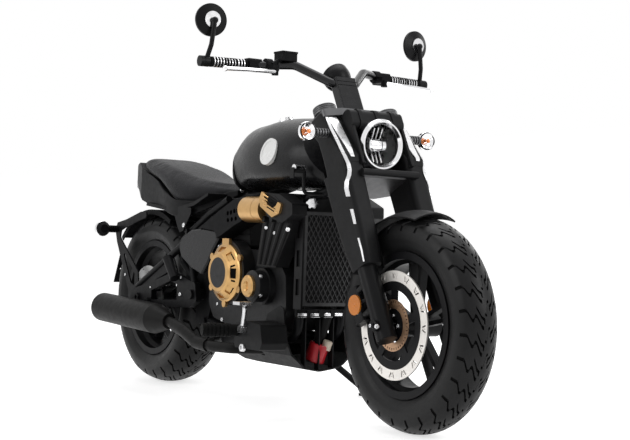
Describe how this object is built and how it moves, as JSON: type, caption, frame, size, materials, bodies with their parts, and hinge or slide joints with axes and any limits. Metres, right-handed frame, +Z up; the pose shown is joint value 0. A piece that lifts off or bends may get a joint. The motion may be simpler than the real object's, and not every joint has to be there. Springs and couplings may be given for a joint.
{
  "type": "cruiser motorcycle",
  "caption": "Cruiser motorcycle leaning on its side stand: fat tyres in line, dished solo seat, teardrop tank, open engine, belt drive and a low silencer.",
  "frame": {"origin": "middle of the footprint on the floor, as it leans on its side stand", "axes": "+X forward, +Y to the rider's left, +Z up; the upright middle plane is turned 7.5 degrees about X towards +Y"},
  "size_m": [2.2399, 0.9336, 1.3338],
  "materials": {
    "amber_lens": "gloss",
    "badge_white": "gloss",
    "black_matt": "matt",
    "black_plastic": "matt",
    "black_rubber": "matt",
    "black_satin": "satin",
    "chrome_trim": "polished",
    "clear_glass": "gloss",
    "disc_steel": "brushed",
    "dull_metal": "satin",
    "engine_black": "rough matt",
    "exhaust_black": "heat-proof matt",
    "gloss_black": "gloss",
    "gold_metal": "satin",
    "radiator_core": "matt",
    "red_lens": "gloss",
    "seat_leather": "soft satin",
    "tyre_rubber": "matt"
  },
  "bodies": {
    "root": {"air_duct": "black_matt", "badges": "badge_white", "belly_pan": "black_matt", "caps_and_lock": "chrome_trim", "crankcase": "engine_black", "cylinder_covers": "black_matt", "cylinders": "engine_black", "drive_belt": "black_rubber", "engine_covers": "engine_black", "exhaust_pipes": "exhaust_black", "foot_levers": "dull_metal", "foot_pegs": "black_rubber", "frame": "black_satin", "fuel_tank": "black_satin", "gold_covers": "gold_metal", "intake_can": "gold_metal", "peg_brackets": "black_matt", "plate_holder": "black_satin", "radiator": "radiator_core", "radiator_frame": "black_satin", "radiator_grille": "black_satin", "rear_calliper": "black_satin", "rear_guard": "black_plastic", "rear_signal_lenses": "clear_glass", "rear_signals": "black_plastic", "seat": "seat_leather", "seat_base": "black_satin", "shock": "black_satin", "side_covers": "gloss_black", "silencer": "exhaust_black", "swing_arm": "black_satin", "tail_lamp": "red_lens"},
    "front_wheel": {"front_tyre": "tyre_rubber", "front_rim": "black_satin", "front_disc": "disc_steel", "front_disc_carrier": "black_satin"},
    "rear_wheel": {"rear_tyre": "tyre_rubber", "rear_rim": "black_satin", "rear_disc": "disc_steel", "rear_pulley": "dull_metal"},
    "stand": {"side_stand": "black_satin"},
    "steering": {"fork_clamps": "black_satin", "fork_legs": "black_satin", "fork_shrouds": "black_matt", "lamp_body": "black_satin", "lamp_ring": "chrome_trim", "glasses": "clear_glass", "lamp_bracket": "black_matt", "handlebar": "black_satin", "grips": "black_rubber", "hand_controls": "black_plastic", "hand_levers": "dull_metal", "mirrors": "black_satin", "mirror_pads": "chrome_trim", "gauge": "black_satin", "front_mudguard": "black_matt", "front_calliper": "black_satin", "reflectors": "amber_lens", "front_signals": "black_plastic", "front_signal_lenses": "clear_glass"}
  },
  "joints": [
    {"name": "steering_turn", "type": "hinge", "parent": "root", "child": "steering", "pos_m": [0.47423, -0.03947, 0.81317], "axis": [-0.4695, 0.1152, 0.8754], "range_deg": [-28, 28]},
    {"name": "front_wheel_spin", "type": "hinge", "parent": "steering", "child": "front_wheel", "pos_m": [0.79999, -0.10468, 0.31791], "axis": [0, 0.9914, -0.1305], "continuous": true},
    {"name": "rear_wheel_spin", "type": "hinge", "parent": "root", "child": "rear_wheel", "pos_m": [-0.74001, -0.10461, 0.31839], "axis": [0, 0.9914, -0.1305], "continuous": true},
    {"name": "side_stand_fold", "type": "hinge", "parent": "root", "child": "stand", "pos_m": [0.14549, 0.02413, 0.12821], "axis": [0.111, 0.7227, 0.6822], "range_deg": [0, 96]}
  ]
}
